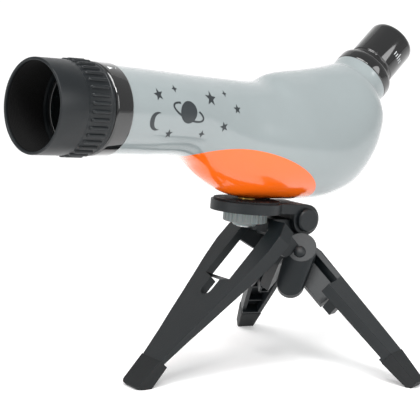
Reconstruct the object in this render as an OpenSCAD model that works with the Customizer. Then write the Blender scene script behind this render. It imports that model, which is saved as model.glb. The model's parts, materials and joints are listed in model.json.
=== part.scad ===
// A small angled spotting telescope on a folding table tripod.
// Frame: millimetres, +Z up, Z = 0 is the table. X = 0 is the tripod's plane of symmetry and the
// front leg points along -Y. The origin is the bottom centre of the bounding box.

/* [Telescope] */
// Outer diameter of the lens hood
hood_d = 50; // [44:1:60]
// Length of the hood from its rim to the seam with the front ring
hood_len = 35; // [30:1:42]
// Wall of the hood
hood_wall = 1.6; // [1.2:0.1:2.2]
// Number of grip ribs round the hood
rib_count = 36; // [24:2:44]
// Length of the fixed front ring
front_ring_len = 11.6; // [9:0.2:15]
// Wall of the moulded body shells
shell_wall = 2.2; // [1.6:0.1:2.8]
// Distance from the hood's outside in to the sliding objective barrel
barrel_inset = 5; // [4.8:0.2:7]
// Clear diameter of the eyepiece tube's outside
cup_d = 29.8; // [26:0.2:32]
// Length of the eyepiece cup beyond its collar
cup_len = 29; // [20:1:32]
// Outer diameter of the collar at the neck
collar_d = 37; // [36:0.5:40]
// Angle between the eyepiece and the optical axis
eye_angle = 43; // [35:1:50]

/* [Tripod] */
// Diameter of the round head plate
head_d = 42; // [34:1:44]
// Thickness of the head plate
head_t = 6; // [4.5:0.5:8]
// Diameter of the tripod screw, a quarter inch
screw_d = 6.25; // [6.25:0.05:6.35]
// Diameter of the thumb wheel
wheel_d = 26; // [22:1:28]
// Diameter of the tilt pin
tilt_pin_d = 6; // [5:0.5:7]
// Slope of the front leg below the horizontal
leg_slope = 43.7; // [38:0.1:46]
// Width of the front leg at its widest
front_leg_w = 54; // [50:1:58]
// Thickness of the moulded leg plates
leg_wall = 2.4; // [1.8:0.1:3]
// Width of the slot in the front leg
slot_w = 25; // [22:0.5:27]
// Diameter of the hip pins
hip_pin_d = 5; // [4:0.5:6]
// Distance from the middle plane to each rear foot
rear_foot_x = 81.5; // [74:0.5:90]
// Distance of the rear feet behind the origin
rear_foot_y = 45.5; // [38:0.5:54]

/* [Rest pose] */
// Upward tilt of the head at rest
head_tilt = 6; // [0:1:15]
// Turn of the telescope on the tripod at rest
pan = 9.9; // [-20:0.1:20]

/* [Hidden] */
$fn = 64;
// Radial clearance of a turning or sliding fit
run = 0.05;
// Gap between moulded neighbours
gap = 0.3;

// ---------- telescope: optical frame, +Y rearwards from the hood rim, Z = 0 on the optical axis

hood_r = hood_d / 2;
barrel_d = hood_d - 2 * barrel_inset;
ring_front = hood_len + 0.6;
ring_rear = ring_front + front_ring_len;
// Half height of the body below the optical axis, where it sits on the head
belly_h = 48;
// Height of the round seat that stands below the body
seat_step = 0.3;
// Position of the tripod screw along the optical axis
screw_s = 159;
// Where the eyepiece axis leaves the optical axis, and where its collar seats
eye_s = 219;
collar_q = 39.4;
neck_r = 18.4;

// Body stations: top point [s, h], bottom point [s, h], half width, narrowing towards the top
tube_r = hood_r - 1.1;
function eye_point(q, r) = [eye_s + q * cos(eye_angle) - r * sin(eye_angle),
                            q * sin(eye_angle) + r * cos(eye_angle)];
stations = [
    [[ring_rear, tube_r], [ring_rear, -tube_r], tube_r, 0],
    [[72, tube_r - 0.8], [72, -tube_r + 0.1], tube_r - 0.5, 0],
    [[98, tube_r - 1.9], [98, -tube_r + 0.3], tube_r - 1.1, 0],
    [[110, tube_r - 2.3], [111, -27.5], tube_r - 1.3, 0.01],
    [[122, tube_r - 2.7], [123, -36.5], tube_r - 0.9, 0.02],
    [[138, tube_r - 3.2], [139, -44], tube_r + 0.6, 0.03],
    [[150, tube_r - 3.4], [156, -47.6], tube_r + 3.2, 0.05],
    [[160, tube_r - 2.2], [175, -belly_h + seat_step], tube_r + 5.6, 0.12],
    [[170, 26], [195, -belly_h + seat_step], tube_r + 7.0, 0.20],
    [[182, 28.2], [215, -46.2], tube_r + 7.2, 0.24],
    [[194, 29.6], [234, -39], tube_r + 6.2, 0.24],
    [[206, 31.4], [249, -23], tube_r + 4.4, 0.20],
    [[217, 33.2], [257, -5], tube_r + 1.2, 0.13],
    [[225, 35.0], [258, 4.5], neck_r + 2.4, 0.05],
    [eye_point(32.5, neck_r + 0.3), eye_point(32.5, -neck_r - 0.3), neck_r + 0.3, 0],
    [eye_point(collar_q, neck_r), eye_point(collar_q, -neck_r), neck_r, 0]];

// Catmull-Rom blend of four values, from b at t = 0 to c at t = 1
function blend(a, b, c, d, t) =
    0.5 * (2 * b + (c - a) * t + (2 * a - 5 * b + 4 * c - d) * t * t + (3 * b - a - 3 * c + d) * t * t * t);
function clamp_index(i) = max(0, min(len(stations) - 1, i));
function station_at(i, t, k) =
    blend(stations[clamp_index(i - 1)][k], stations[i][k], stations[clamp_index(i + 1)][k],
          stations[clamp_index(i + 2)][k], t);

// One ring of the body, taken in by inset and moved along by shift beyond the ends
function ring(i, t, n, inset, shift) =
    let (top = station_at(i, t, 0), bottom = station_at(i, t, 1), w = station_at(i, t, 2),
         egg = station_at(i, t, 3), mid = (top + bottom) / 2, up = (top - bottom) / 2,
         half = norm(up), dir = up / half, ahead = [dir[1], -dir[0]])
    [for (j = [0 : n - 1])
        let (a = 360 * j / n, x = (w - inset) * cos(a) * (1 - egg * sin(a)), v = (half - inset) * sin(a),
             p = mid + dir * v + ahead * shift)
        [x, p[0], p[1]]];

function rings(sub, n, inset, over) =
    [for (i = [0 : len(stations) - 2], k = [0 : sub - 1])
        ring(i, k / sub, n, inset, (i == 0 && k == 0) ? -over : 0),
     ring(len(stations) - 2, 1, n, inset, over)];

module loft(loops) {
    n = len(loops[0]);
    m = len(loops);
    points = [for (loop = loops, p = loop) p];
    sides = [for (i = [0 : m - 2], j = [0 : n - 1])
        [i * n + j, i * n + (j + 1) % n, (i + 1) * n + (j + 1) % n, (i + 1) * n + j]];
    first = [for (j = [n - 1 : -1 : 0]) j];
    last = [for (j = [0 : n - 1]) (m - 1) * n + j];
    polyhedron(points, concat([first], sides, [last]), convexity = 6);
}

module body_outer() { loft(rings(3, 48, 0, 0)); }
module body_inner() { loft(rings(2, 32, shell_wall, 2)); }

// Side view of the belly cover's edge, grown by more
belly_mid = [146, -42];
belly_a = 52;
belly_b = 23.5;
belly_slope = 11;
module belly_region(more) {
    translate([0, belly_mid[0], belly_mid[1]]) rotate([-belly_slope, 0, 0]) rotate([0, 90, 0])
        linear_extrude(height = 90, center = true) scale([(belly_b + more) / (belly_a + more), 1])
            circle(r = belly_a + more, $fn = 96);
}

module body_half(side) {
    color("lightgray") at_telescope() difference() {
        body_outer();
        body_inner();
        belly_region(0.15);
        translate([side > 0 ? -100 : 0, -10, -100]) cube([100, 400, 200]);
    }
}

bush_r = 5;
bush_len = 9;
boss_r = 9;
foot_r = 16;
// Belly screws: place along the axis and height of the head above the seat
screw_places = [[134, 7.2], [184, 1.5]];
module belly_cover() {
    color("orangered") at_telescope() difference() {
        union() {
            intersection() {
                difference() { body_outer(); body_inner(); }
                belly_region(0);
            }
            translate([0, screw_s, -belly_h]) cylinder(r = foot_r, h = shell_wall + 1);
            translate([0, screw_s, -belly_h]) cylinder(r = boss_r, h = bush_len + 2.5);
            for (place = screw_places) translate([0, place[0], -belly_h + place[1] + 0.6]) cylinder(r = 3.8, h = 11);
        }
        translate([0, screw_s, -belly_h - 1]) cylinder(r = bush_r, h = bush_len + 1);
        for (place = screw_places) translate([0, place[0], -belly_h + place[1]]) {
            translate([0, 0, -12]) cylinder(r = 2.2, h = 13.2);
            cylinder(r = 1.45, h = 11);
        }
    }
}

// Two self-tapping screws that hold the belly cover to the shells
module belly_screws() {
    color("gray") at_telescope() for (place = screw_places)
        translate([0, place[0], -belly_h + place[1]]) {
            cylinder(r = 1.4, h = 10);
            difference() {
                translate([0, 0, -0.4]) cylinder(r = 2.1, h = 1.5);
                translate([0, 0, -0.4]) cube([2.2, 0.5, 1], center = true);
            }
        }
}

module tripod_bush() {
    color("goldenrod") at_telescope() translate([0, screw_s, -belly_h]) difference() {
        cylinder(r = bush_r, h = bush_len);
        translate([0, 0, -1]) cylinder(r = screw_d / 2 + run, h = bush_len - 0.5);
    }
}

module along_axis(s) { translate([0, s, 0]) rotate([-90, 0, 0]) children(); }

guide_r = barrel_d / 2 + run;
snout_r = hood_r - hood_wall - 0.9;
snout_len = 9;
rib_start = 20.5;
rib_len = 11;
module lens_hood() {
    color("dimgray") at_telescope() difference() {
        union() {
            along_axis(0) rotate_extrude() polygon([
                [hood_r - hood_wall, 1], [hood_r - hood_wall + 0.5, 0.2], [hood_r - 0.5, 0], [hood_r, 0.6],
                [hood_r, hood_len - 0.4], [hood_r - 0.4, hood_len], [snout_r + run, hood_len],
                [snout_r + run, hood_len - snout_len - 0.5], [hood_r - hood_wall, hood_len - snout_len - 2]]);
            for (k = [0 : rib_count - 1]) along_axis(0) rotate([0, 0, 360 * k / rib_count])
                translate([hood_r - 0.3, -0.85, rib_start]) cube([1.05, 1.7, rib_len]);
        }
    }
}

module front_ring() {
    color("black") at_telescope() along_axis(0) rotate_extrude() polygon([
        [guide_r, ring_front - snout_len], [snout_r, ring_front - snout_len], [snout_r, ring_front],
        [hood_r - 0.5, ring_front], [hood_r - 0.1, ring_front + 0.4], [hood_r - 0.1, ring_rear - 0.3],
        [hood_r - 0.4, ring_rear], [tube_r - shell_wall - 0.4, ring_rear],
        [tube_r - shell_wall - 0.4, ring_rear + 5], [guide_r, ring_rear + 5]]);
}

// Small raised arrow on the front ring that shows the focusing direction
module focus_index() {
    color("white") at_telescope() rotate([0, -22, 0]) translate([0, ring_front + 3, hood_r - 0.1])
        linear_extrude(height = 0.4) polygon([[-1.8, 0], [1.8, 0], [0, 3.4]]);
}

barrel_len = 44;
barrel_front = 33;
lens_seat = barrel_front + 9;
barrel_wall = 1.5;
lens_r = barrel_d / 2 - barrel_wall - 0.1;
module objective_barrel() {
    color("black") at_telescope() along_axis(0) rotate_extrude() polygon([
        [lens_r + 0.1, barrel_front], [barrel_d / 2, barrel_front],
        [barrel_d / 2, barrel_front + barrel_len], [lens_r - 1, barrel_front + barrel_len],
        [lens_r - 1, lens_seat + 7], [lens_r + 0.1, lens_seat + 7]]);
}
// A lens blank with a bulging front and a given edge thickness
module lens(r, edge, bulge) {
    rotate_extrude() polygon(concat([[0, 0], [r, 0]],
        [for (k = [8 : -1 : 1]) [r * k / 8, edge + bulge * (1 - pow(k / 8, 2))]], [[0, edge + bulge]]));
}
module objective_front_lens() {
    color("lightcyan") at_telescope() translate([0, lens_seat + 4.1, 0]) rotate([90, 0, 0]) lens(lens_r, 2, 2);
}
module objective_rear_lens() {
    color("lightcyan") at_telescope() along_axis(lens_seat + 4.9) cylinder(r = lens_r, h = 2.1);
}
module objective_spacer() {
    color("black") at_telescope() along_axis(lens_seat + 4.2) difference() {
        cylinder(r = lens_r, h = 0.7);
        translate([0, 0, -1]) cylinder(r = lens_r - 1.6, h = 3);
    }
}
module objective_retainer() {
    color("black") at_telescope() along_axis(lens_seat - 1.9) difference() {
        cylinder(r = lens_r, h = 3.4);
        translate([0, 0, -1]) cylinder(r1 = lens_r - 0.6, r2 = lens_r - 2.4, h = 6);
        for (side = [-1, 1]) translate([side * lens_r, 0, 0]) cube([4, 1.6, 1.4], center = true);
    }
}

module at_eye(q) {
    translate([0, eye_s + q * cos(eye_angle), q * sin(eye_angle)]) rotate([eye_angle - 90, 0, 0]) children();
}

// Roof prism block that turns the beam up to the eyepiece
prism_w = 22;
module prism() {
    color("lightcyan") at_telescope() translate([-prism_w / 2, eye_s, 0]) rotate([90, 0, 90])
        linear_extrude(height = prism_w) polygon([[-14, 12], [-14, -12], [2, -16], [19, 0], [8, 13]]);
}
module prism_bracket() {
    color("black") at_telescope() difference() {
        translate([-prism_w / 2 - 3, eye_s, 0]) rotate([90, 0, 90]) linear_extrude(height = prism_w + 6)
            polygon([[-16.5, 15], [-16.5, -15], [3, -19.5], [23, 0], [9, 16]]);
        translate([-prism_w / 2, eye_s, 0]) rotate([90, 0, 90])
            linear_extrude(height = prism_w) polygon([[-14, 12], [-14, -12], [2, -16], [19, 0], [8, 13]]);
        along_axis(eye_s - 20) cylinder(r = 9, h = 12);
        at_eye(10) cylinder(r = 9, h = 20);
    }
}

collar_r = collar_d / 2;
collar_len = 9;
cup_r = cup_d / 2;
eye_bore = cup_r - 3;
module eyepiece_collar() {
    color("black") at_telescope() at_eye(collar_q) rotate_extrude() polygon([
        [cup_r - 1.4, -6], [neck_r - shell_wall - 0.8, -6], [neck_r - shell_wall - 0.8, 0],
        [collar_r, 0], [collar_r - 0.7, collar_len - 2.4], [collar_r - 1.6, collar_len - 0.8],
        [cup_r + 1.2, collar_len], [cup_r + run, collar_len], [cup_r + run, collar_len - 4],
        [cup_r - 1.4, collar_len - 4]]);
}
cup_start = collar_q + collar_len - 4;
module eyepiece_cup() {
    color("black") at_telescope() at_eye(cup_start) rotate_extrude() polygon([
        [eye_bore, 0], [cup_r, 0], [cup_r, 7], [cup_r - 0.4, 7.2], [cup_r - 0.4, 7.8], [cup_r, 8],
        [cup_r, cup_len + 2.4], [cup_r - 1.6, cup_len + 4], [eye_bore + 2.5, cup_len + 4],
        [eye_bore, cup_len + 1.5]]);
}
module eyepiece_field_lens() { color("lightcyan") at_telescope() at_eye(cup_start + 3) lens(eye_bore, 1.6, 2.4); }
module eyepiece_lens_spacer() {
    color("black") at_telescope() at_eye(cup_start + 7.2) difference() {
        cylinder(r = eye_bore, h = 8);
        translate([0, 0, -1]) cylinder(r = eye_bore - 1.4, h = 10);
    }
}
module eyepiece_eye_lens() { color("lightcyan") at_telescope() at_eye(cup_start + 15.4) lens(eye_bore, 2.2, 2.2); }
module eyepiece_retainer() {
    color("black") at_telescope() at_eye(cup_start + 20) difference() {
        cylinder(r = eye_bore, h = 4);
        translate([0, 0, -1]) cylinder(r1 = eye_bore - 3, r2 = eye_bore - 1, h = 6);
    }
}

// ---------- tripod

pin_pos = [0, 24, 88];
pad_t = 1.2;
head_top = 9.1;
screw_y = -35.5;
knuckle_w = 17;
ear_t = 4;
// Points of the telescope in the row frame before it is centred
function spun(p) = [p[0] * cos(pan) - p[1] * sin(pan), p[0] * sin(pan) + p[1] * cos(pan), p[2]];
function tipped(p) = [p[0], p[1] * cos(head_tilt) + p[2] * sin(head_tilt),
                      p[2] * cos(head_tilt) - p[1] * sin(head_tilt)];
function placed(p) = pin_pos + tipped([0, screw_y, head_top + pad_t] + spun(p - [0, screw_s, -belly_h]));
function disc_reach(p, q, r) = let (n = placed(q) - placed(p), t = n[1] / norm(n)) r * sqrt(1 - t * t);
cup_q = collar_q + collar_len + cup_len;
cup_end = [0, eye_s + cup_q * cos(eye_angle), cup_q * sin(eye_angle)];
front_y = placed([0, 0, 0])[1] - disc_reach([0, 0, 0], [0, 1, 0], hood_r - 0.5);
rear_y = placed(cup_end)[1] + disc_reach([0, eye_s, 0], cup_end, cup_r - 1.6);
// Moves the model so that its bounding box is centred on the origin
centring = [0, -(front_y + rear_y) / 2, 0];
module at_head() { translate(pin_pos + centring) rotate([-head_tilt, 0, 0]) children(); }
module at_telescope() {
    at_head() translate([0, screw_y, head_top + pad_t]) rotate([0, 0, pan])
        translate([0, -screw_s, belly_h]) children();
}

ear_in = knuckle_w / 2 + gap;
module across(x) { translate([x, 0, 0]) rotate([0, 90, 0]) children(); }
module head_plate() {
    color("darkslategray") at_head() difference() {
        union() {
            translate([0, screw_y, head_top - head_t]) cylinder(d = head_d, h = head_t);
            hull() {
                translate([0, screw_y, head_top - head_t]) cylinder(r = ear_in + ear_t, h = head_t, $fn = 32);
                translate([-ear_in - ear_t, -8, head_top - head_t]) cube([2 * (ear_in + ear_t), 4, head_t]);
            }
            for (side = [-1, 1]) translate([side > 0 ? ear_in : -ear_in - ear_t, 0, 0]) {
                rotate([0, 90, 0]) cylinder(r = head_top, h = ear_t);
                translate([0, -9, 0]) cube([ear_t, 9, head_top]);
            }
            translate([-ear_in - ear_t, -8, head_top - 3]) cube([2 * (ear_in + ear_t), 8, 3]);
        }
        translate([0, screw_y, 0]) cylinder(d = screw_d + 0.4, h = 40, center = true);
        across(-30) cylinder(r = tilt_pin_d / 2 + run, h = 60);
        // room for the front leg's knuckle, which turns below the plate
        across(-ear_in) cylinder(r = knuckle_r + gap, h = 2 * ear_in);
    }
}
knuckle_r = 7.6;

module head_pad() {
    color("black") at_head() difference() {
        translate([0, screw_y, head_top]) cylinder(r = head_d / 2 - 1.5, h = pad_t);
        translate([0, screw_y, 0]) cylinder(d = screw_d + 1, h = 40);
        for (k = [-8 : 8]) translate([-20, screw_y + 1.9 * k - 0.3, head_top + pad_t - 0.5])
            if (abs(k) > 1) cube([40, 0.6, 1]);
    }
}

wheel_top = head_top - head_t - gap;
wheel_t = 6;
module thumb_screw() {
    color("silver") at_head() translate([0, screw_y, 0]) {
        translate([0, 0, wheel_top - wheel_t - 2]) cylinder(d = screw_d, h = head_top + pad_t + 6.5 - wheel_top + wheel_t + 2);
        translate([0, 0, wheel_top - wheel_t - 2.8]) cylinder(r = 4.6, h = 0.8);
    }
}
module thumb_wheel() {
    color("darkgray") at_head() translate([0, screw_y, 0]) difference() {
        union() {
            translate([0, 0, wheel_top - wheel_t]) cylinder(d = wheel_d - 1.6, h = wheel_t);
            for (k = [0 : 23]) rotate([0, 0, 15 * k]) translate([wheel_d / 2 - 0.9, 0, wheel_top - wheel_t + 0.3])
                cylinder(r = 0.9, h = wheel_t - 0.6, $fn = 20);
            translate([0, 0, wheel_top - wheel_t - 2]) cylinder(r1 = 6.6, r2 = 8.2, h = 2.2);
        }
        translate([0, 0, wheel_top - wheel_t - 5]) cylinder(d = screw_d, h = 20);
    }
}

pin_head_r = 7;
pin_head_t = 3;
module tilt_pin() {
    color("dimgray") at_head() {
        across(-ear_in - ear_t - 0.8) cylinder(d = tilt_pin_d, h = 2 * (ear_in + ear_t) + 1);
        across(ear_in + ear_t) rotate_extrude() polygon([[0, 0], [pin_head_r, 0],
            [pin_head_r, pin_head_t - 0.8], [pin_head_r - 0.8, pin_head_t], [0, pin_head_t]]);
    }
}
module tilt_pin_cap() {
    color("dimgray") at_head() mirror([1, 0, 0]) across(ear_in + ear_t) rotate_extrude() polygon([
        [tilt_pin_d / 2, 0], [pin_head_r, 0], [pin_head_r, pin_head_t - 0.8], [pin_head_r - 0.8, pin_head_t],
        [0, pin_head_t], [0, 0.8], [tilt_pin_d / 2, 0.8]]);
}
module tilt_washers() {
    color("silver") at_head() for (side = [0, 1]) mirror([side, 0, 0]) across(ear_in - gap + 0.05) difference() {
        cylinder(r = 6, h = 0.2);
        translate([0, 0, -1]) cylinder(r = tilt_pin_d / 2 + run, h = 3);
    }
}

// Front leg frame: origin on the tilt pin, the leg runs along -Y and its plate faces +Z
module at_leg() { translate(pin_pos + centring) rotate([leg_slope, 0, 0]) children(); }
plate_z = 16.4;
leg_top = -15;
boot_start = -122;
leg_end = -141;
toe_w = 20;
wide = front_leg_w / 2;
leg_edge = [[wide - 5, leg_top], [wide - 0.5, -24], [wide, -36], [wide - 2, -50], [wide - 4.7, -62],
            [wide - 7.7, -76], [wide - 10.5, -90], [wide - 13.7, -104], [toe_w / 2, boot_start]];
leg_outline = concat(leg_edge, [for (i = [len(leg_edge) - 1 : -1 : 0]) [-leg_edge[i][0], leg_edge[i][1]]]);
module slot_shape() {
    half = slot_w / 2;
    union() {
        translate([-half, -60]) square([slot_w, 38]);
        polygon([[-half, -60.01], [half, -60.01], [4.6, -62], [-4.6, -62]]);
        translate([-4.6, -69.5]) square([9.2, 8]);
        translate([0, -69.5]) circle(r = 4.6);
    }
}
// Depth of the leg's side walls at its top and at the boot
wall_deep = 9;
wall_shallow = 3.2;
hip = [12, 20, 65];
rear_foot = [rear_foot_x, rear_foot_y, 0];
down_leg = [0, -cos(leg_slope), -sin(leg_slope)];
function unit(v) = v / norm(v);
open_dir = unit(rear_foot - hip);
hip_axis = unit(cross(down_leg, open_dir));
open_angle = acos(down_leg * open_dir);
up_leg = -down_leg;
hip_side = cross(up_leg, hip_axis);
// Turns +Z onto the hip axis, with +Y up the folded leg
module at_hip() {
    translate(hip + centring) multmatrix([[hip_side[0], up_leg[0], hip_axis[0], 0],
                               [hip_side[1], up_leg[1], hip_axis[1], 0],
                               [hip_side[2], up_leg[2], hip_axis[2], 0],
                               [0, 0, 0, 1]]) children();
}
lobe_t = 5;
lobe_r = 8;
knuckle_t = 6.5;
lobe_turn = open_angle / 4;
lobe_len = 18;
lobe_up = 3;
gusset_t = 11;
module hip_lobe() {
    at_hip() translate([0, 0, gap / 2]) hull() {
        rotate([0, 0, lobe_turn]) translate([0, -lobe_len, 0]) cylinder(r = lobe_r, h = lobe_t, $fn = 32);
        rotate([0, 0, lobe_turn]) translate([0, lobe_up, 0]) cylinder(r = lobe_r + 1, h = gusset_t, $fn = 32);
    }
}
module leg_solid(inset) {
    translate([0, 0, plate_z - 40]) linear_extrude(height = 40 - inset) offset(delta = -inset) polygon(leg_outline);
}
module leg_profile() {
    // Side view of the leg: plate line on top, walls that grow shallower towards the boot
    rotate([90, 0, 90]) linear_extrude(height = 2 * wide + 2, center = true) polygon([
        [leg_top, plate_z], [boot_start, plate_z], [boot_start, plate_z - wall_shallow],
        [-46, plate_z - wall_deep + 1], [leg_top, plate_z - wall_deep]]);
}
module front_leg() {
    color("darkslategray") difference() {
        union() {
            at_leg() {
                difference() {
                    intersection() { leg_solid(0); leg_profile(); }
                    translate([0, 0, -leg_wall]) intersection() {
                        leg_solid(leg_wall);
                        leg_profile();
                    }
                    translate([0, 0, plate_z - 6]) linear_extrude(height = 10) slot_shape();
                }
                across(-knuckle_w / 2) cylinder(r = knuckle_r, h = knuckle_w);
                translate([-knuckle_w / 2, 0, 0]) rotate([90, 0, 90]) linear_extrude(height = knuckle_w)
                    polygon([[0, -knuckle_r], [-4, 4], [leg_top + 1, plate_z - 1], [leg_top - 6, plate_z - 1],
                             [leg_top - 6, plate_z - wall_deep], [-12, -4]]);
                translate([-wide + 6, leg_top - 3, plate_z - wall_deep]) cube([2 * wide - 12, 3, wall_deep]);
                // cheeks that carry the hip lobes
                for (side = [-1, 1]) translate([side * 15.5 - 2, 0, 0]) rotate([90, 0, 90]) linear_extrude(height = 4)
                    polygon([[leg_top, plate_z - 2], [leg_top - 16, plate_z - 2], [leg_top - 12, -2],
                             [leg_top - 1, -6]]);
                // tongue that carries the boot
                translate([-toe_w / 2 + 3.4, boot_start - 12, plate_z - wall_shallow]) cube([toe_w - 6.8, 14, wall_shallow - 0.8]);
            }
            hip_lobe();
            mirror([1, 0, 0]) hip_lobe();
        }
        at_leg() across(-30) cylinder(r = tilt_pin_d / 2 + run, h = 60);
        for (side = [0, 1]) mirror([side, 0, 0]) at_hip() cylinder(r = hip_pin_d / 2, h = 40, center = true);
        at_head() translate([0, screw_y, -11]) cylinder(d = wheel_d + 2, h = 40);
    }
}

module above_table() {
    intersection() {
        children();
        translate([-200, -200, 0]) cube([400, 400, 300]);
    }
}
module front_foot() {
    color("black") above_table() at_leg() difference() {
        hull() {
            translate([-toe_w / 2 - 0.4, boot_start - 0.2, plate_z - wall_shallow - 2.6]) cube([toe_w + 0.8, 0.2, wall_shallow + 3]);
            for (side = [-1, 1]) translate([side * (toe_w / 2 - 4), leg_end + 2, plate_z - 7.6])
                cylinder(r = 3.4, h = 8, $fn = 32);
        }
        translate([-toe_w / 2 + 3.4, boot_start - 12, plate_z - wall_shallow]) cube([toe_w - 6.8, 14, wall_shallow - 0.8]);
    }
}

// Rear leg in the folded frame, hip at the origin, running along -Y, its wide wall facing +X
rear_len = norm(rear_foot - hip);
wall_x = 9;
hip_deep = 20;
toe_deep = 12.5;
rear_boot = -rear_len + 18;
module at_rear_leg() {
    translate(hip + centring) rotate(a = open_angle, v = hip_axis) rotate([leg_slope, 0, 0]) children();
}
// Depth of the rear leg's channel
channel = 12;
// How much shallower the outer side wall is
shallower = 5;
module leg_plate(x, t, outline) {
    translate([x, 0, 0]) rotate([90, 0, 90]) linear_extrude(height = t) polygon(outline);
}
module channel_taper() {
    translate([0, 0, -30]) linear_extrude(height = 60) polygon([[wall_x + 1, 8], [wall_x + 1, rear_boot - 1],
        [wall_x - 8.4, rear_boot - 1], [wall_x - channel - 1, -30], [wall_x - channel - 1, 8]]);
}
module rear_leg() {
    color("darkslategray") difference() {
        union() {
            at_rear_leg() {
                intersection() {
                    channel_taper();
                    difference() {
                    leg_plate(wall_x - channel, channel, [[-4, hip_deep / 2], [rear_boot, toe_deep / 2],
                        [rear_boot, -toe_deep / 2], [-4, -hip_deep / 2], [6, -hip_deep / 2 + 5], [6, hip_deep / 2 - 5]]);
                    leg_plate(wall_x - channel - 1, channel + 1 - leg_wall, [[-3, hip_deep / 2 - leg_wall],
                        [rear_boot + leg_wall, toe_deep / 2 - leg_wall], [rear_boot + leg_wall, -toe_deep / 2 + leg_wall],
                        [-3, -hip_deep / 2 + leg_wall]]);
                    leg_plate(wall_x - channel - 1, shallower + 1, [[-3, 0], [rear_boot + leg_wall, 0],
                        [rear_boot + leg_wall, 20], [-3, 20]]);
                    }
                }
                for (y = [-48, -66]) translate([wall_x - 7, y, -6]) cube([5.5, 1.4, 12.2]);
                translate([wall_x - 16, -38, -2]) difference() {
                    cube([15, 6.4, 6.4]);
                    translate([-1, 1.2, 1.2]) cube([11, 4, 4]);
                }
                translate([wall_x - 6, rear_boot - 10, -toe_deep / 2 + 2]) cube([4, 12, toe_deep - 4]);
            }
            at_hip() rotate([0, 0, open_angle]) translate([0, 0, -gap / 2 - knuckle_t]) {
                cylinder(r = lobe_r, h = knuckle_t);
                translate([-lobe_r, -30, 0]) cube([2 * lobe_r - 3, 30, knuckle_t]);
            }
        }
        // room for the front leg's lobe over the whole swing
        at_hip() translate([0, 0, -gap / 2]) cylinder(r = lobe_len + lobe_r + 0.5, h = 24);
        at_hip() translate([0, 0, -gap / 2 - knuckle_t - 14]) cylinder(r = hip_pin_d / 2 + 2.8, h = 14);
        at_hip() cylinder(r = hip_pin_d / 2 + run, h = 40, center = true);
    }
}
module rear_foot_boot() {
    color("black") above_table() at_rear_leg() difference() {
        hull() {
            translate([wall_x - 8.7, rear_boot - 0.2, -toe_deep / 2 - 0.3]) cube([9, 0.2, toe_deep + 0.6]);
            translate([wall_x - 7.6, -rear_len - 4, -toe_deep / 2 + 1.4]) cube([6.8, 3, toe_deep - 2.8]);
        }
        translate([wall_x - 6, rear_boot - 10, -toe_deep / 2 + 2]) cube([4, 12, toe_deep - 4]);
    }
}
module hip_pin() {
    color("silver") at_hip() {
        translate([0, 0, -gap / 2 - knuckle_t - 1]) cylinder(r = hip_pin_d / 2, h = knuckle_t + gap + lobe_t + 1);
        translate([0, 0, -gap / 2 - knuckle_t - 2]) cylinder(r = hip_pin_d / 2 + 1.8, h = 1.6);
    }
}

module body_shell_right() { body_half(1); }
module body_shell_left() { body_half(-1); }
module rear_leg_right() { rear_leg(); }
module rear_leg_left() { mirror([1, 0, 0]) rear_leg(); }
module rear_foot_right() { rear_foot_boot(); }
module rear_foot_left() { mirror([1, 0, 0]) rear_foot_boot(); }
module hip_pin_right() { hip_pin(); }
module hip_pin_left() { mirror([1, 0, 0]) hip_pin(); }
module hip_washers() {
    color("silver") for (side = [0, 1]) mirror([side, 0, 0]) at_hip()
        translate([0, 0, -gap / 2 - knuckle_t - 0.35]) difference() {
            cylinder(r = 5, h = 0.3);
            translate([0, 0, -1]) cylinder(r = hip_pin_d / 2 + run, h = 3);
        }
}

lens_hood();
front_ring();
focus_index();
objective_barrel();
objective_front_lens();
objective_rear_lens();
objective_spacer();
objective_retainer();
body_shell_right();
body_shell_left();
belly_cover();
belly_screws();
tripod_bush();
prism();
prism_bracket();
eyepiece_collar();
eyepiece_cup();
eyepiece_field_lens();
eyepiece_lens_spacer();
eyepiece_eye_lens();
eyepiece_retainer();
head_plate();
head_pad();
thumb_screw();
thumb_wheel();
tilt_pin();
tilt_pin_cap();
tilt_washers();
front_leg();
front_foot();
rear_leg_right();
rear_leg_left();
rear_foot_right();
rear_foot_left();
hip_pin_right();
hip_pin_left();
hip_washers();
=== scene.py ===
"""Small angled spotting telescope on a folding table tripod, dressed for rendering."""

import json
import logging
import math
from dataclasses import dataclass, field
from enum import Enum
from typing import Callable, Sequence

import bmesh
import bpy
from mathutils import Matrix, Vector

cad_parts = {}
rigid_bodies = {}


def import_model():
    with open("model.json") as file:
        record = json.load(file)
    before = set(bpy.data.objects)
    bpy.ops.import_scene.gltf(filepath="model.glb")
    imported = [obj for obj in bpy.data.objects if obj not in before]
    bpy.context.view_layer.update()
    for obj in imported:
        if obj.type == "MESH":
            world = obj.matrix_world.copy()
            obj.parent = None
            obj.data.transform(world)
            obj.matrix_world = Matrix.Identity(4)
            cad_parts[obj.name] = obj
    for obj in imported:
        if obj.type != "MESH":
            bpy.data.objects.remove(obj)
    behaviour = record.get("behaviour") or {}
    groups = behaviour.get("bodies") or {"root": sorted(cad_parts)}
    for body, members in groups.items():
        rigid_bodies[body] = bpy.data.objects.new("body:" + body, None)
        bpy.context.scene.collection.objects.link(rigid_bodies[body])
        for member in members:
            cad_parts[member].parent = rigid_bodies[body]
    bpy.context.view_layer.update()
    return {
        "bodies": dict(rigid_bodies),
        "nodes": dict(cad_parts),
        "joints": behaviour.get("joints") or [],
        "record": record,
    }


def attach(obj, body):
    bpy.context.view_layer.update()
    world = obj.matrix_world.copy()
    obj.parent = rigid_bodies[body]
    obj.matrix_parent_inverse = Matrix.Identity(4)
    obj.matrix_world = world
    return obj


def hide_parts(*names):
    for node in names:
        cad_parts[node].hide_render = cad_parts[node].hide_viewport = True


LOG = logging.getLogger("telescope")
MM = 0.001
Point2 = tuple[float, float]
Profile = Sequence[Point2]


# ---------------------------------------------------------------- colours and materials


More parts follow.
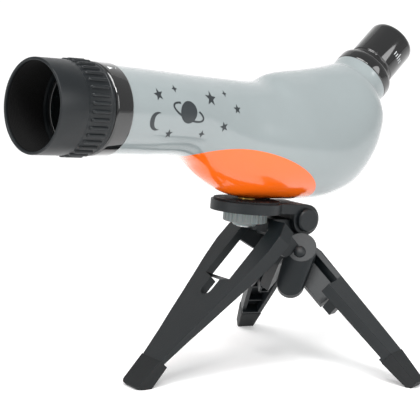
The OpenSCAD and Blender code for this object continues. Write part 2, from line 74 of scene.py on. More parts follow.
def linear(hex_colour: str) -> tuple[float, float, float, float]:
    """Turn an sRGB hex colour into linear RGBA.

    Args:
        hex_colour: six hex digits, such as "A5AEB0".

    Returns:
        The linear colour with alpha 1.
    """
    values = [int(hex_colour[i : i + 2], 16) / 255 for i in (0, 2, 4)]
    rgb = [v / 12.92 if v <= 0.04045 else ((v + 0.055) / 1.055) ** 2.4 for v in values]
    return rgb[0], rgb[1], rgb[2], 1.0


def add_node(
    material: bpy.types.Material, kind: str, links: dict | None = None, **settings: object
) -> bpy.types.ShaderNode:
    """Add a shader node, set its sockets or attributes and link its inputs.

    Args:
        material: the material whose tree gets the node.
        kind: the node type, such as "ShaderNodeTexNoise".
        links: input name to output socket.
        settings: attribute names, or input names with underscores for spaces.

    Returns:
        The new node.
    """
    node = material.node_tree.nodes.new(kind)
    for key, value in settings.items():
        if hasattr(node, key):
            setattr(node, key, value)
        else:
            node.inputs[key.replace("_", " ")].default_value = value
    for key, socket in (links or {}).items():
        material.node_tree.links.new(socket, node.inputs[key])
    return node


@dataclass(frozen=True)
class Finish:
    """A procedural finish: a base colour with fine grain, wear in the gloss and soft edges.

    Lengths, such as edge, grain_depth and scatter, are in millimetres.
    """

    name: str
    colour: str
    roughness: float
    metallic: float = 0.0
    coat: float = 0.0
    grain: float = 0.0
    grain_scale: float = 900.0
    grain_depth: float = 0.15
    cloud_scale: float = 60.0
    cloud_low: float = 0.35
    cloud_high: float = 0.65
    mottle: float = 0.03
    wear: float = 0.08
    edge: float = 0.0
    coat_roughness: float = 0.06
    transmission: float = 0.0
    specular: float = 0.5
    subsurface: float = 0.0
    scatter: float = 3.0
    glow: float = 0.0

    def make(self) -> bpy.types.Material:
        """Build the material.

        Returns:
            The material, made once and shared after that.
        """
        found = bpy.data.materials.get(self.name)
        if found:
            return found
        material = bpy.data.materials.new(self.name)
        material.use_nodes = True
        material.diffuse_color = linear(self.colour)
        shader = material.node_tree.nodes["Principled BSDF"]
        inputs = shader.inputs
        for socket, value in {
            "Metallic": self.metallic,
            "Coat Weight": self.coat,
            "Coat Roughness": self.coat_roughness,
            "Transmission Weight": self.transmission,
            "Specular IOR Level": self.specular,
            "Subsurface Weight": self.subsurface,
            "Subsurface Scale": self.scatter * MM,
            "Emission Color": (1.0, 1.0, 1.0, 1.0),
            "Emission Strength": self.glow,
        }.items():
            inputs[socket].default_value = value
        place = add_node(material, "ShaderNodeTexCoord").outputs["Object"]
        cloud = add_node(
            material, "ShaderNodeTexNoise", {"Vector": place}, Scale=self.cloud_scale, Detail=3.0
        )
        base = linear(self.colour)
        dark = tuple(c * (1 - self.mottle) for c in base[:3]) + (1.0,)
        light = tuple(min(1.0, c * (1 + self.mottle)) for c in base[:3]) + (1.0,)
        ramp = add_node(material, "ShaderNodeValToRGB", {"Fac": cloud.outputs["Fac"]})
        ramp.color_ramp.elements[0].color = dark
        ramp.color_ramp.elements[0].position = self.cloud_low
        ramp.color_ramp.elements[1].color = light
        ramp.color_ramp.elements[1].position = self.cloud_high
        links = material.node_tree.links
        links.new(ramp.outputs["Color"], inputs["Base Color"])
        gloss = add_node(
            material,
            "ShaderNodeMapRange",
            {"Value": cloud.outputs["Fac"]},
            To_Min=self.roughness * (1 - self.wear),
            To_Max=min(1.0, self.roughness * (1 + self.wear)),
        )
        links.new(gloss.outputs["Result"], inputs["Roughness"])
        normal = None
        if self.edge:
            bevel = add_node(material, "ShaderNodeBevel", samples=4, Radius=self.edge * MM)
            normal = bevel.outputs["Normal"]
        if self.grain:
            fine = add_node(
                material, "ShaderNodeTexNoise", {"Vector": place}, Scale=self.grain_scale, Detail=2.0
            )
            bump_links = {"Height": fine.outputs["Fac"]}
            if normal:
                bump_links["Normal"] = normal
            bump = add_node(
                material, "ShaderNodeBump", bump_links, Strength=self.grain, Distance=self.grain_depth * MM
            )
            normal = bump.outputs["Normal"]
        if normal:
            links.new(normal, inputs["Normal"])
        return material


class Look(Enum):
    """The finishes used on the telescope and its tripod."""

    # Moulded ABS under clear lacquer: smooth, with long soft highlights
    BODY = Finish("Body grey plastic", "858D8E", 0.13, coat=0.5, mottle=0.01)
    BELLY = Finish("Belly orange plastic", "E2600F", 0.14, coat=0.5, mottle=0.01)
    # Spark-textured ABS: a satin sheen that hides handling marks
    HOOD = Finish("Hood satin black", "0D1215", 0.4, grain=0.25, edge=0.25, specular=0.35)
    # Polished ABS: near-mirror reflections on the ring, collar and eyepiece
    RING = Finish("Ring gloss black", "0B0C0D", 0.07, coat=0.8, mottle=0.0)
    # Matt paint that soaks up stray light inside the optics
    INNER = Finish("Inner matt black", "020202", 0.8, grain=0.3, specular=0.2)
    # Glass-filled nylon: a dull grain and soft moulded edges
    TRIPOD = Finish("Tripod dark grey", "0B1114", 0.44, grain=0.35, edge=0.5, specular=0.35)
    # Moulded rubber: rougher than the legs, with rounder edges
    RUBBER = Finish("Rubber black", "0A0E10", 0.6, grain=0.5, edge=0.6, specular=0.35)
    # Frosted polypropylene: light goes a little way in and softens the knurls
    WHEEL = Finish("Wheel frosted grey", "7C8585", 0.38, edge=0.3, transmission=0.15, subsurface=0.2)
    # Turned metals: fine tool marks on the steel, a warm tint on the brass
    STEEL = Finish("Brushed steel", "B4B6B6", 0.3, metallic=1.0, grain=0.2)
    BRASS = Finish("Bush brass", "C8A055", 0.3, metallic=1.0)
    # Pad-printed inks: flatter than the plastic that they sit on
    PRINT = Finish("Print dark grey", "23292C", 0.35, mottle=0.02)
    MARK = Finish("Mark white", "D5D9DA", 0.4, mottle=0.01)
    # Coated optical glass: clear, with a faint cool tint
    GLASS = Finish("Coated glass", "BFD8DC", 0.02, transmission=0.95, mottle=0.0)
    # Painted studio floor, lifted a little so that it stays pale
    FLOOR = Finish("Studio white", "F7F7F7", 0.8, mottle=0.0, specular=0.1, glow=0.16)


# ---------------------------------------------------------------- the telescope's own frame

# Millimetres in the row frame
PIN = Vector((0.0, 45.578, 88.0))
HIP = Vector((12.0, 41.578, 65.0))
HIP_AXIS = Vector((0.680873, -0.506003, 0.529502))
HEAD_TILT = math.radians(6.0)
PAN = math.radians(9.9)
# The tripod screw, seen from the tilt pin
SCREW_Y = -35.5
HEAD_TOP = 10.3
# Distances from the hood's rim along the optical axis, and off it
SCREW_S = 159.0
BELLY_H = 48.0
EYE_S = 219.0
EYE_ANGLE = math.radians(43.0)
# The collar's seat, along the eyepiece axis
COLLAR_Q = 39.4

HEAD_FRAME = Matrix.Translation(PIN) @ Matrix.Rotation(-HEAD_TILT, 4, "X")
# +Y runs rearwards from the hood rim along the optical axis
SCOPE_FRAME = (
    HEAD_FRAME
    @ Matrix.Translation((0, SCREW_Y, HEAD_TOP))
    @ Matrix.Rotation(PAN, 4, "Z")
    @ Matrix.Translation((0, -SCREW_S, BELLY_H))
)
# +Z runs rearwards along the optical axis
OPTIC_FRAME = SCOPE_FRAME @ Matrix.Rotation(math.radians(-90), 4, "X")
# +Z runs out of the eyepiece
EYE_FRAME = (
    SCOPE_FRAME
    @ Matrix.Translation((0, EYE_S, 0))
    @ Matrix.Rotation(EYE_ANGLE - math.radians(90), 4, "X")
)


def finish_mesh(
    name: str,
    bm: bmesh.types.BMesh,
    frame: Matrix,
    look: Look,
    body: str,
    smooth_angle: float = 35.0,
    recalc: bool = True,
) -> bpy.types.Object:
    """Turn a bmesh in millimetres into a dressed piece that rides on a body.

    Args:
        name: the piece's name.
        bm: the mesh, in millimetres in its own frame; it is freed.
        frame: from that frame to the row frame, in millimetres.
        look: the finish.
        body: the body it rides on.
        smooth_angle: edges sharper than this many degrees stay sharp.
        recalc: whether to turn the faces outwards.

    Returns:
        The new object.
    """
    bmesh.ops.transform(bm, matrix=Matrix.Scale(MM, 4) @ frame, verts=bm.verts)
    if recalc:
        bmesh.ops.recalc_face_normals(bm, faces=bm.faces)
    limit = math.radians(smooth_angle)
    for face in bm.faces:
        face.smooth = True
    for edge in bm.edges:
        edge.smooth = len(edge.link_faces) != 2 or edge.calc_face_angle(0.0) < limit
    mesh = bpy.data.meshes.new(name)
    bm.to_mesh(mesh)
    bm.free()
    obj = bpy.data.objects.new(name, mesh)
    bpy.context.scene.collection.objects.link(obj)
    obj.data.materials.append(look.value.make())
    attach(obj, body)
    LOG.info("%s: %d faces on %s", name, len(mesh.polygons), body)
    return obj


def lathe(bm: bmesh.types.BMesh, profile: Profile, steps: int = 128) -> None:
    """Turn a closed profile about +Z.

    Args:
        bm: the mesh to add to.
        profile: radius and height pairs, in millimetres.
        steps: how many segments go round.
    """
    verts = [bm.verts.new((r, 0.0, z)) for r, z in profile]
    edges = [bm.edges.new(pair) for pair in zip(verts, verts[1:] + verts[:1])]
    bmesh.ops.spin(
        bm,
        geom=verts + edges,
        axis=(0, 0, 1),
        cent=(0, 0, 0),
        angle=math.tau,
        steps=steps,
        use_merge=True,
    )


def rounded(profile: Profile, radius: float, steps: int = 4) -> list[Point2]:
    """Round every corner of a closed profile.

    Args:
        profile: the corners.
        radius: how far along each side a corner's arc reaches.
        steps: how many segments an arc has.

    Returns:
        The rounded profile.
    """
    out: list[Point2] = []
    for i, corner in enumerate(profile):
        here = Vector(corner)
        before, after = Vector(profile[i - 1]), Vector(profile[(i + 1) % len(profile)])
        reach = min(radius, (before - here).length * 0.45, (after - here).length * 0.45)
        start = here + (before - here).normalized() * reach
        end = here + (after - here).normalized() * reach
        for k in range(steps + 1):
            t = k / steps
            p = start * (1 - t) ** 2 + here * (2 * t * (1 - t)) + end * t**2
            out.append((p.x, p.y))
    return out


# ---------------------------------------------------------------- the moulded body


@dataclass(frozen=True)
class Station:
    """One cross-section of the body: its ends in the side view, its width and its egg shape."""

    top: Point2
    bottom: Point2
    half_width: float
    egg: float


@dataclass
class MouldedBody:
    """The grey body and its orange belly, cut from one smooth lofted surface."""

    tube_r: float = 23.9
    neck_r: float = 18.4
    lip: float = 0.9
    region_mid: Point2 = (146.0, -42.0)
    region_a: float = 52.0
    region_b: float = 23.5
    region_slope: float = 11.0
    columns: int = 176
    belly_columns: int = 48
    strip_rows: int = 40
    tail_rows: int = 64
    edge_samples: int = 600
    edge_halvings: int = 24
    tip_halvings: int = 40
    _rows: list[Station] = field(init=False)

    def __post_init__(self) -> None:
        """Lay out the sections."""
        self._rows = self.stations()

    def eye_point(self, q: float, r: float) -> Point2:
        """Place a point of the side view from the eyepiece axis.

        Args:
            q: its distance along the axis.
            r: its distance off the axis, upwards.

        Returns:
            Its place along the optical axis and its height above it.
        """
        return (
            EYE_S + q * math.cos(EYE_ANGLE) - r * math.sin(EYE_ANGLE),
            q * math.sin(EYE_ANGLE) + r * math.cos(EYE_ANGLE),
        )

    def stations(self) -> list[Station]:
        """List the sections.

        Returns:
            The sections, from the front ring to the eyepiece collar.
        """
        t, n, seat = self.tube_r, self.neck_r, -BELLY_H + 0.3
        rows = [
            ((47.2, t), (47.2, -t), t, 0),
            ((72, t - 0.8), (72, -t + 0.1), t - 0.5, 0),
            ((98, t - 1.9), (98, -t + 0.3), t - 1.1, 0),
            ((110, t - 2.3), (111, -27.5), t - 1.3, 0.01),
            ((122, t - 2.7), (123, -36.5), t - 0.9, 0.02),
            ((138, t - 3.2), (139, -44), t + 0.6, 0.03),
            ((150, t - 3.4), (156, -47.6), t + 3.2, 0.05),
            ((160, t - 2.2), (175, seat), t + 5.6, 0.12),
            ((170, 26), (195, seat), t + 7.0, 0.20),
            ((182, 28.2), (215, -46.2), t + 7.2, 0.24),
            ((194, 29.6), (234, -39), t + 6.2, 0.24),
            ((206, 31.4), (249, -23), t + 4.4, 0.20),
            ((217, 33.2), (257, -5), t + 1.2, 0.13),
            ((225, 35.0), (258, 4.5), n + 2.4, 0.05),
            (self.eye_point(32.5, n + 0.3), self.eye_point(32.5, -n - 0.3), n + 0.3, 0),
            (self.eye_point(COLLAR_Q, n), self.eye_point(COLLAR_Q, -n), n, 0),
        ]
        return [Station(*row) for row in rows]

    def point(self, u: float, a: float) -> Vector:
        """Find a point on the surface.

        Args:
            u: the place along the body, in stations.
            a: the angle round it, in radians, 0 at +X and a quarter turn at the top.

        Returns:
            The point in the telescope's frame.
        """
        rows = self._rows
        last = len(rows) - 1
        i = min(int(u), last - 1)
        t = u - i
        picks = [rows[max(0, min(last, i + k))] for k in (-1, 0, 1, 2)]

        def blend(get: Callable[[Station], float]) -> float:
            p, q, r, s = (get(row) for row in picks)
            return 0.5 * (
                2 * q + (r - p) * t + (2 * p - 5 * q + 4 * r - s) * t**2 + (3 * q - p - 3 * r + s) * t**3
            )

        top = Vector((blend(lambda w: w.top[0]), blend(lambda w: w.top[1])))
        low = Vector((blend(lambda w: w.bottom[0]), blend(lambda w: w.bottom[1])))
        width = blend(lambda w: w.half_width)
        egg = blend(lambda w: w.egg)
        mid = (top + low) / 2 + (top - low) / 2 * math.sin(a)
        return Vector((width * math.cos(a) * (1 - egg * math.sin(a)), mid.x, mid.y))

    def normal(self, u: float, a: float) -> Vector:
        """Find the surface's normal.

        Args:
            u: the place along the body, in stations.
            a: the angle round it, in radians.

        Returns:
            The outward normal.
        """
        top = len(self._rows) - 1
        du = self.point(min(top, u + 0.01), a) - self.point(max(0.0, u - 0.01), a)
        da = self.point(u, a + 0.003) - self.point(u, a - 0.003)
        return du.cross(da).normalized()

    def inside(self, u: float, a: float) -> float:
        """Tell on which side of the belly's edge a point is.

        Args:
            u: the place along the body, in stations.
            a: the angle round it, in radians.

        Returns:
            A measure that is negative inside the edge and nought on it.
        """
        p = self.point(u, a)
        slope = math.radians(self.region_slope)
        d = Vector((p.y - self.region_mid[0], p.z - self.region_mid[1]))
        along = d.x * math.cos(slope) - d.y * math.sin(slope)
        across = d.x * math.sin(slope) + d.y * math.cos(slope)
        return (along / self.region_a) ** 2 + (across / self.region_b) ** 2 - 1

    def crossings(self, a: float) -> tuple[float, float] | None:
        """Find where the belly's edge crosses one column.

        Args:
            a: the column's angle, in radians.

        Returns:
            The first and the last crossing, or None where there is none.
        """
        steps = self.edge_samples
        top = len(self._rows) - 1
        values = [self.inside(top * k / steps, a) for k in range(steps + 1)]
        hits = []
        for k in range(steps):
            if (values[k] < 0) != (values[k + 1] < 0):
                low, high = top * k / steps, top * (k + 1) / steps
                for _ in range(self.edge_halvings):
                    mid = (low + high) / 2
                    if (self.inside(mid, a) < 0) == (values[k] < 0):
                        low = mid
                    else:
                        high = mid
                hits.append((low + high) / 2)
        return (hits[0], hits[-1]) if len(hits) >= 2 else None

    def _edge_angle(self) -> tuple[float, float]:
        """Find the belly's widest point.

        Returns:
            How far round from the bottom it is, in radians, and its place along the body.
        """
        bottom = -math.pi / 2
        low, high = 0.2, math.pi / 2
        for _ in range(self.tip_halvings):
            mid = (low + high) / 2
            if self.crossings(bottom + mid):
                low = mid
            else:
                high = mid
        pair = self.crossings(bottom + low)
        return low, (pair[0] + pair[1]) / 2 if pair else 6.0

    def build(self) -> None:
        """Build the grey body and the belly."""
        reach, tip = self._edge_angle()
        bottom = -math.pi / 2
        inner = self.belly_columns
        angles = [
            bottom + reach * math.sin(math.pi / 2 * (2 * k / inner - 1)) for k in range(inner + 1)
        ]
        outer = self.columns - inner
        angles += [
            bottom + reach + (math.tau - 2 * reach) * k / outer for k in range(1, outer)
        ]
        pairs = [self.crossings(a) if 0 < k < inner else (tip, tip) for k, a in enumerate(angles)]
        pairs = [p or (tip, tip) for p in pairs]
        end = float(len(self._rows) - 1)
        rows, tail = self.strip_rows, self.tail_rows
        front = [[p[0] * i / rows for i in range(rows + 1)] for p in pairs]
        middle = [[p[0] + (p[1] - p[0]) * i / rows for i in range(rows + 1)] for p in pairs]
        rear = [[p[1] + (end - p[1]) * i / tail for i in range(tail + 1)] for p in pairs]
        grey, normals = self._patch((front, rear), angles, True)
        body = self._dress("telescope_body", grey, normals, Look.BODY)
        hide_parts("body_shell_right", "body_shell_left")
        belly_mesh, normals = self._patch((middle,), angles[: inner + 1], False)
        belly = self._dress("belly_panel", belly_mesh, normals, Look.BELLY)
        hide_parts("belly_cover")

    def _dress(
        self, name: str, bm: bmesh.types.BMesh, normals: list[Vector], look: Look
    ) -> bpy.types.Object:
        """Finish a patch and give its outside the surface's own normals.

        Args:
            name: the piece's name.
            bm: the patch's mesh, which is freed.
            normals: the normals of its first vertices.
            look: the finish.

        Returns:
            The piece.
        """
        obj = finish_mesh(name, bm, SCOPE_FRAME, look, "telescope", 50.0, recalc=False)
        mesh = obj.data
        turn = SCOPE_FRAME.to_3x3()
        spread = [v.normal.copy() for v in mesh.vertices]
        spread[: len(normals)] = [(turn @ n).normalized() for n in normals]
        mesh.normals_split_custom_set([spread[loop.vertex_index] for loop in mesh.loops])
        return obj

    def _patch(
        self, zones: Sequence[list[list[float]]], angles: list[float], closed: bool
    ) -> tuple[bmesh.types.BMesh, list[Vector]]:
        """Build strips of the surface with a lip turned in along their edges.

        Args:
            zones: for each strip, each column's places along the body.
            angles: each column's angle.
            closed: whether the last column meets the first.

        Returns:
            The mesh and the normals of its first vertices, which lie on the outside.
        """
        bm = bmesh.new()
        normals: list[Vector] = []
        grids = []
        known: dict[tuple[float, float], bmesh.types.BMVert] = {}
        for zone in zones:
            grid = []
            for k, angle in enumerate(angles):
                column = []
                for u in zone[k]:
                    key = (round(u, 7), round(angle, 7))
                    if key not in known:
                        known[key] = bm.verts.new(self.point(u, angle))
                        normals.append(self.normal(u, angle))
                    column.append(known[key])
                grid.append(column)
            grids.append(grid)
        for grid in grids:
            count = len(grid)
            for k in range(count if closed else count - 1):
                near, far = grid[k], grid[(k + 1) % count]
                for i in range(len(near) - 1):
                    corners = []
                    for v in (near[i], far[i], far[i + 1], near[i + 1]):
                        if v not in corners:
                            corners.append(v)
                    if len(corners) > 2:
                        bm.faces.new(corners)
        bm.verts.index_update()
        bm.verts.ensure_lookup_table()
        bm.faces.ensure_lookup_table()
        first = bm.faces[len(bm.faces) // 2]
        first.normal_update()
        if first.normal.dot(normals[first.verts[0].index]) < 0:
            bmesh.ops.reverse_faces(bm, faces=bm.faces)
        rim = [e for e in bm.edges if len(e.link_faces) == 1]
        made = bmesh.ops.extrude_edge_only(bm, edges=rim)["geom"]
        twins = {}
        for edge in rim:
            for v in edge.verts:
                twins[v.co.to_tuple(6)] = normals[v.index]
        for v in (g for g in made if isinstance(g, bmesh.types.BMVert)):
            n = twins[v.co.to_tuple(6)]
            v.co -= n * self.lip
        return bm, normals

    def side_point(self, s: float, h: float, lift: float) -> Vector:
        """Find the point on the +X side above a point of the side view.

        Args:
            s: the place along the optical axis.
            h: the height above it.
            lift: how far off the surface.

        Returns:
            The point in the telescope's frame.
        """
        u, a = 3.0, 0.0
        for _ in range(30):
            p = self.point(u, a)
            pu = (self.point(u + 0.01, a) - p) / 0.01
            pa = (self.point(u, a + 0.01) - p) / 0.01
            ds, dh = s - p.y, h - p.z
            det = pu.y * pa.z - pa.y * pu.z
            if abs(det) < 1e-9:
                break
            u = max(0.0, u + (ds * pa.z - dh * pa.y) / det)
            a = max(-1.4, min(1.4, a + (pu.y * dh - pu.z * ds) / det))
        return self.point(u, a) + self.normal(u, a) * lift


# ---------------------------------------------------------------- printed decoration


@dataclass
class Print:
    """A generic night-sky print on the side of the body: stars, a ringed planet and a moon."""

    body: MouldedBody
    lift: float = 0.09
    star_waist: float = 0.42
    crescent_depth: float = 0.62
    ring_start: float = 128.0
    ring_sweep: float = 284.0

    def shrinking(self, outline: list[Point2], mid: Point2, steps: int = 3) -> list[list[Point2]]:
        """List ever smaller copies of an outline.

        Args:
            outline: the outline.
            mid: the point that they shrink to.
            steps: how many copies follow the outline.

        Returns:
            The outlines, from the full size down to the point.
        """
        rows = []
        for i in range(steps + 1):
            t = i / steps
            rows.append([(x + (mid[0] - x) * t, y + (mid[1] - y) * t) for x, y in outline])
        return rows

    def star(self, mid: Point2, r: float, points: int = 5, turn: float = 0.0) -> list[list[Point2]]:
        """Lay out a star.

        Args:
            mid: its middle.
            r: its radius.
            points: how many points it has.
            turn: how far it is turned, in radians.

        Returns:
            Its rows of points.
        """
        out = []
        for k in range(points * 2 + 1):
            a = math.pi * k / points + math.pi / 2 + turn
            reach = r if k % 2 == 0 else r * self.star_waist
            out.append((mid[0] + reach * math.cos(a), mid[1] + reach * math.sin(a)))
        return self.shrinking(out, mid)

    def disc(self, mid: Point2, r: float, steps: int = 36) -> list[list[Point2]]:
        """Lay out a disc.

        Args:
            mid: its middle.
            r: its radius.
            steps: how many segments go round.

        Returns:
            Its rows of points.
        """
        turns = [math.tau * k / steps for k in range(steps + 1)]
        outline = [(mid[0] + r * math.cos(a), mid[1] + r * math.sin(a)) for a in turns]
        return self.shrinking(outline, mid, 5)

    def arc(self, mid: Point2, a: float, b: float, wide: float, turn: float) -> list[list[Point2]]:
        """Lay out the near part of a planet's elliptical ring.

        Args:
            mid: the planet's middle.
            a: the ring's longer radius.
            b: its shorter radius.
            wide: its width.
            turn: its slope, in radians.

        Returns:
            Its rows of points.
        """
        rows = []
        steps = 60
        for inset in (0.0, wide):
            row = []
            for k in range(steps + 1):
                t = math.radians(self.ring_start + self.ring_sweep * k / steps)
                x, y = (a - inset) * math.cos(t), (b - inset) * math.sin(t)
                row.append((mid[0] + x * math.cos(turn) - y * math.sin(turn),
                            mid[1] + x * math.sin(turn) + y * math.cos(turn)))
            rows.append(row)
        return rows

    def crescent(self, mid: Point2, r: float) -> list[list[Point2]]:
        """Lay out a crescent moon.

        Args:
            mid: its middle.
            r: its radius.

        Returns:
            Its rows of points.
        """
        outer, inner = [], []
        steps = 40
        for k in range(steps + 1):
            t = math.radians(60 + 240 * k / steps)
            outer.append((mid[0] + r * math.cos(t), mid[1] + r * math.sin(t)))
            depth = math.sin(math.pi * k / steps) * r * self.crescent_depth
            inner.append((outer[-1][0] - depth * math.cos(t), outer[-1][1] - depth * math.sin(t)))
        return [outer, inner]

    def build(self) -> None:
        """Build the print."""
        planet = (87.0, 2.0)
        shapes = [
            self.disc(planet, 6.0),
            self.arc(planet, 12.0, 4.2, 1.2, math.radians(-18)),
            self.crescent((64.5, -3.5), 5.0),
            self.star((66.0, 10.5), 3.4, turn=0.2),
            self.star((105.0, 10.0), 4.2, turn=-0.1),
            self.star((114.0, -5.0), 3.0, turn=0.3),
            self.star((75.0, -10.0), 2.6, turn=0.1),
            self.star((125.0, 5.0), 2.8),
            self.star((99.0, -9.5), 2.2, 4),
            self.star((79.0, 14.0), 2.0, 4),
            self.star((118.0, 13.0), 1.8, 4),
        ]
        bm = bmesh.new()
        for rows in shapes:
            grid = [
                [bm.verts.new(self.body.side_point(along, high, self.lift)) for along, high in row]
                for row in rows
            ]
            for near, far in zip(grid, grid[1:]):
                for i in range(len(near) - 1):
                    bm.faces.new((near[i], near[i + 1], far[i + 1], far[i]))
        bmesh.ops.remove_doubles(bm, verts=bm.verts, dist=1e-3)
        bmesh.ops.dissolve_degenerate(bm, dist=1e-4, edges=bm.edges[:])
        finish_mesh("night_sky_print", bm, SCOPE_FRAME, Look.PRINT, "telescope")


# ---------------------------------------------------------------- turned parts


@dataclass
class Hood:
    """The ribbed lens hood that focuses the telescope."""

    r: float = 25.0
    length: float = 35.0
    wall: float = 1.6
    ribs: int = 36
    rib_start: float = 19.6
    rib_len: float = 12.2
    rib_half: float = 1.15
    rib_height: float = 0.95
    rib_root: float = 0.45
    step_r: float = 22.55
    baffles: int = 22
    baffle_depth: float = 0.35

    def shell(self, bm: bmesh.types.BMesh) -> None:
        """Turn the hood's wall with a rounded rim.

        Args:
            bm: the mesh to add to.
        """
        inner = self.r - self.wall
        floor = self.r - 0.3
        profile = [(inner, 0.0), (self.r, 0.0), (self.r, 17.6), (floor, 18.0), (floor, 33.0)]
        profile += [(self.r, 33.3), (self.r, self.length)]
        profile += [(self.step_r, self.length), (self.step_r, 25.5), (inner, 24.0)]
        lathe(bm, rounded(profile, 0.5, 3), 192)

    def rib(self, bm: bmesh.types.BMesh, angle: float) -> None:
        """Add one round-ended rib.

        Args:
            bm: the mesh to add to.
            angle: its place round the hood, in radians.
        """
        along, across = 14, 8
        rows = []
        for i in range(along + 1):
            t = i / along
            z = self.rib_start + self.rib_len * (0.5 - 0.5 * math.cos(math.pi * t))
            end = min(z - self.rib_start, self.rib_start + self.rib_len - z) / self.rib_half
            size = math.sqrt(max(0.0, 1 - (1 - min(1.0, end)) ** 2)) if end < 1 else 1.0
            row = []
            for k in range(across + 1):
                c = math.pi * k / across
                x = self.rib_half * size * math.cos(c)
                y = self.r - self.rib_root + (self.rib_height + self.rib_root) * size * math.sin(c) ** 0.7
                row.append(bm.verts.new((x, y, z)))
            rows.append(row)
        turned = [v for row in rows for v in row]
        bmesh.ops.rotate(bm, verts=turned, matrix=Matrix.Rotation(angle, 3, "Z"))
        for i in range(along):
            for k in range(across):
                quad = (rows[i][k], rows[i][k + 1], rows[i + 1][k + 1], rows[i + 1][k])
                bm.faces.new(quad)

    def build(self) -> None:
        """Build the hood with all its ribs, and the baffle grooves inside it."""
        bm = bmesh.new()
        self.shell(bm)
        for k in range(self.ribs):
            self.rib(bm, math.tau * k / self.ribs)
        bmesh.ops.remove_doubles(bm, verts=bm.verts, dist=1e-4)
        hood = finish_mesh("ribbed_hood", bm, OPTIC_FRAME, Look.HOOD, "focus_hood", 50.0)
        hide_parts("lens_hood")
        inside = bmesh.new()
        bore = self.r - self.wall - 0.03
        bands = [(bore, 1.2)]
        for k in range(self.baffles):
            z = 2.0 + k
            bands += [(bore, z), (bore - self.baffle_depth, z + 0.5)]
        bands += [(bore, 24.0), (bore + 0.02, 24.0), (bore + 0.02, 1.2)]
        lathe(inside, bands, 128)
        finish_mesh("hood_baffle", inside, OPTIC_FRAME, Look.INNER, "focus_hood")


@dataclass
class TurnedParts:
    """The front ring, the eyepiece and the small marks on them."""

    hood_r: float = 25.0
    collar_r: float = 18.5
    cup_r: float = 14.9
    arrow_start: float = 38.6
    arrow_angle: float = 64.0
    tick_count: int = 5
    tick_start: float = 22.0

    def front_ring(self) -> None:
        """Build the glossy ring behind the hood."""
        r = self.hood_r - 0.1
        bm = bmesh.new()
        profile = [(20.05, 26.6), (22.5, 26.6), (22.5, 35.6), (r - 0.7, 35.6), (r, 36.6), (r, 46.4)]
        profile += [(r - 0.6, 47.2), (21.3, 47.2), (21.3, 52.2), (20.05, 52.2)]
        lathe(bm, rounded(profile, 0.45), 192)
        ring = finish_mesh("gloss_ring", bm, OPTIC_FRAME, Look.RING, "telescope")
        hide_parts("front_ring")

    def eyepiece(self) -> None:
        """Build the collar and the eyepiece cup."""
        q = COLLAR_Q
        r, c = self.collar_r, self.cup_r
        bm = bmesh.new()
        profile = [(c - 1.4, q - 6), (r - 3.1, q - 6), (r - 3.1, q), (r, q), (r, q + 5.6)]
        profile += [(r - 0.8, q + 7.8), (c + 1.3, q + 9), (c + 0.05, q + 9)]
        profile += [(c + 0.05, q + 5), (c - 1.4, q + 5)]
        lathe(bm, rounded(profile, 1.0), 160)
        collar = finish_mesh("gloss_collar", bm, EYE_FRAME, Look.RING, "telescope")
        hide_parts("eyepiece_collar")
        start = q + 5
        bm = bmesh.new()
        profile = [(c - 3, 0.0), (c, 0.0), (c, 6.6), (c - 0.5, 7.0), (c - 0.5, 7.8), (c, 8.2), (c, 30.2)]
        profile += [(c - 0.6, 32.2), (c - 2.0, 33.0), (c - 3.2, 31.6), (c - 3, 30.5)]
        lathe(bm, rounded([(x, start + z) for x, z in profile], 0.6), 160)
        cup = finish_mesh("eyepiece_cup_gloss", bm, EYE_FRAME, Look.RING, "telescope")
        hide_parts("eyepiece_cup")

    def marks(self) -> None:
        """Build the generic white marks: an arrow on the ring and ticks on the eyepiece."""
        bm = bmesh.new()
        for offset, half in ((0.0, 1.6), (4.6, 0.5)):
            base = self.arrow_start + offset
            outline = [(-half, base), (half, base), (0.0, base + half * 1.9)]
            verts = []
            for x, z in outline:
                a = math.radians(self.arrow_angle) - x / self.hood_r
                r = self.hood_r - 0.05
                verts.append(bm.verts.new((r * math.cos(a), -r * math.sin(a), z)))
            bm.faces.new(verts)
        arrow = finish_mesh("focus_arrow", bm, OPTIC_FRAME, Look.MARK, "telescope")
        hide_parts("focus_index")
        bm = bmesh.new()
        r = self.cup_r + 0.04
        low = COLLAR_Q + self.tick_start
        for k in range(self.tick_count):
            high = low + (4.6 if k == self.tick_count // 2 else 2.8)
            for i in range(2):
                a, b = (math.radians(-12 + 7 * k + d) for d in (-0.9 + i * 0.9, i * 0.9))
                corners = [(a, low), (b, low), (b, high), (a, high)]
                bm.faces.new([bm.verts.new((r * math.cos(t), r * math.sin(t), z)) for t, z in corners])
        finish_mesh("eyepiece_ticks", bm, EYE_FRAME, Look.MARK, "telescope")

    def hip_plugs(self) -> None:
        """Build the domed plugs that close the hip pins' bores on the outside of the lobes."""
        profile = [(0.0, 5.1), (2.45, 5.1), (2.45, 11.0), (3.6, 11.05)]
        profile += [(3.4, 11.9), (2.2, 12.5), (0.0, 12.7)]
        for side, name in ((1.0, "hip_plug_right"), (-1.0, "hip_plug_left")):
            out = Vector((HIP_AXIS.x * side, HIP_AXIS.y, HIP_AXIS.z))
            turn = out.to_track_quat("Z", "Y").to_matrix().to_4x4()
            bm = bmesh.new()
            lathe(bm, profile, 48)
            bmesh.ops.remove_doubles(bm, verts=bm.verts, dist=1e-4)
            hip = Vector((HIP.x * side, HIP.y, HIP.z))
            finish_mesh(name, bm, Matrix.Translation(hip) @ turn, Look.TRIPOD, "tripod")

    def build(self) -> None:
        """Build every turned part."""
        self.hip_plugs()
        self.front_ring()
        self.eyepiece()
        self.marks()


# ---------------------------------------------------------------- CAD parts and the studio

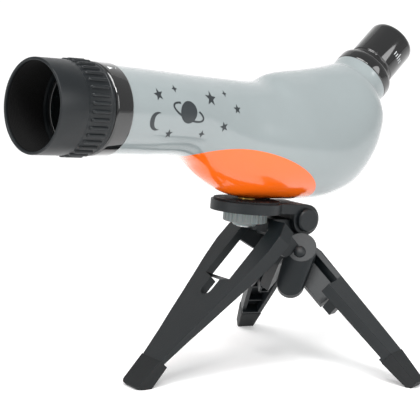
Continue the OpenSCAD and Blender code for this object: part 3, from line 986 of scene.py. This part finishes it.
SLOT_LOOKS = {
    "hood_black": Look.HOOD,
    "ring_black": Look.RING,
    "body_grey": Look.BODY,
    "belly_orange": Look.BELLY,
    "inner_black": Look.INNER,
    "optical_glass": Look.GLASS,
    "index_white": Look.MARK,
    "steel": Look.STEEL,
    "bush_brass": Look.BRASS,
    "tripod_grey": Look.TRIPOD,
    "rubber_black": Look.RUBBER,
    "wheel_grey": Look.WHEEL,
}


def dress_cad(frame: dict) -> None:
    """Give every CAD part the finish of its material slot.
    """
    for part in frame["record"]["subparts"]:
        material = SLOT_LOOKS[part["material_slot"]].value.make()
        obj = frame["nodes"][part["node"]]
        if obj.material_slots:
            for held in obj.material_slots:
                held.material = material
        else:
            obj.data.materials.append(material)


@dataclass
class Studio:
    """The floor, the lights and the camera."""

    focal: float = 122.8
    place: tuple[float, float, float] = (0.6864, -0.45682, 0.2323)
    aim: tuple[float, float, float] = (-0.0163, -0.00372, 0.0943)
    lamp_aim: tuple[float, float, float] = (0.0, 0.0, 0.12)
    half_floor: float = 3.0
    cove: float = 0.9
    wall: float = 3.0

    def floor(self) -> None:
        """Lay a pale seamless floor that curves up behind the object."""
        bm = bmesh.new()
        back = Vector((self.aim[0] - self.place[0], self.aim[1] - self.place[1], 0)).normalized()
        side = Vector((-back.y, back.x, 0))
        curve = [(-self.half_floor, 0.0), (self.cove, 0.0)]
        for k in range(1, 8):
            t = 0.2 * k
            curve.append((self.cove * (1 + math.sin(t)), self.cove * (1 - math.cos(t))))
        curve.append((2 * self.cove, self.wall))
        rows = []
        for reach, height in curve:
            spot = back * reach + Vector((0, 0, height))
            rows.append([bm.verts.new(spot + side * w) for w in (-self.half_floor, self.half_floor)])
        for near, far in zip(rows, rows[1:]):
            bm.faces.new((near[0], near[1], far[1], far[0]))
        bmesh.ops.recalc_face_normals(bm, faces=bm.faces)
        mesh = bpy.data.meshes.new("studio_floor")
        bm.to_mesh(mesh)
        bm.free()
        for face in mesh.polygons:
            face.use_smooth = True
        obj = bpy.data.objects.new("studio_floor", mesh)
        bpy.context.scene.collection.objects.link(obj)
        obj.data.materials.append(Look.FLOOR.value.make())

    def light(self, name: str, spot: Sequence[float], size: float, power: float) -> None:
        """Add a soft area light aimed at the object.

        Args:
            name: the light's name.
            spot: where it stands, in metres.
            size: its width, in metres.
            power: its power, in watts.
        """
        data = bpy.data.lights.new(name, "AREA")
        data.shape = "DISK"
        data.size = size
        data.energy = power
        obj = bpy.data.objects.new(name, data)
        obj.location = spot
        aim = Vector(self.lamp_aim) - Vector(spot)
        obj.rotation_euler = aim.to_track_quat("-Z", "Y").to_euler()
        bpy.context.scene.collection.objects.link(obj)

    def build(self) -> None:
        """Build the floor, the lights and the camera."""
        self.floor()
        self.light("key", (0.35, -0.5, 1.25), 0.8, 15.0)
        self.light("fill", (1.2, 0.5, 0.6), 0.8, 6.5)
        self.light("front", (0.3, -1.4, 0.5), 0.9, 6.0)
        self.light("strip", (0.6, -0.2, 0.8), 0.2, 2.5)
        world = bpy.data.worlds.new("studio_world")
        world.use_nodes = True
        world.node_tree.nodes["Background"].inputs["Color"].default_value = (1, 1, 1, 1)
        nodes = world.node_tree.nodes
        seen = nodes.new("ShaderNodeLightPath")
        power = nodes.new("ShaderNodeMapRange")
        power.inputs["To Min"].default_value = 0.5
        power.inputs["To Max"].default_value = 1.0
        world.node_tree.links.new(seen.outputs["Is Camera Ray"], power.inputs["Value"])
        world.node_tree.links.new(power.outputs["Result"], nodes["Background"].inputs["Strength"])
        bpy.context.scene.world = world
        data = bpy.data.cameras.new("camera")
        data.lens = self.focal
        data.sensor_width = 36.0
        camera = bpy.data.objects.new("camera", data)
        camera.location = self.place
        look = Vector(self.aim) - Vector(self.place)
        camera.rotation_euler = look.to_track_quat("-Z", "Y").to_euler()
        bpy.context.scene.collection.objects.link(camera)
        bpy.context.scene.camera = camera
        bpy.context.scene.view_settings.view_transform = "Standard"


def main() -> None:
    logging.basicConfig(level=logging.INFO)
    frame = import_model()
    dress_cad(frame)
    body = MouldedBody()
    body.build()
    Print(body).build()
    Hood().build()
    TurnedParts().build()
    Studio().build()


if __name__ == "__main__":
    main()
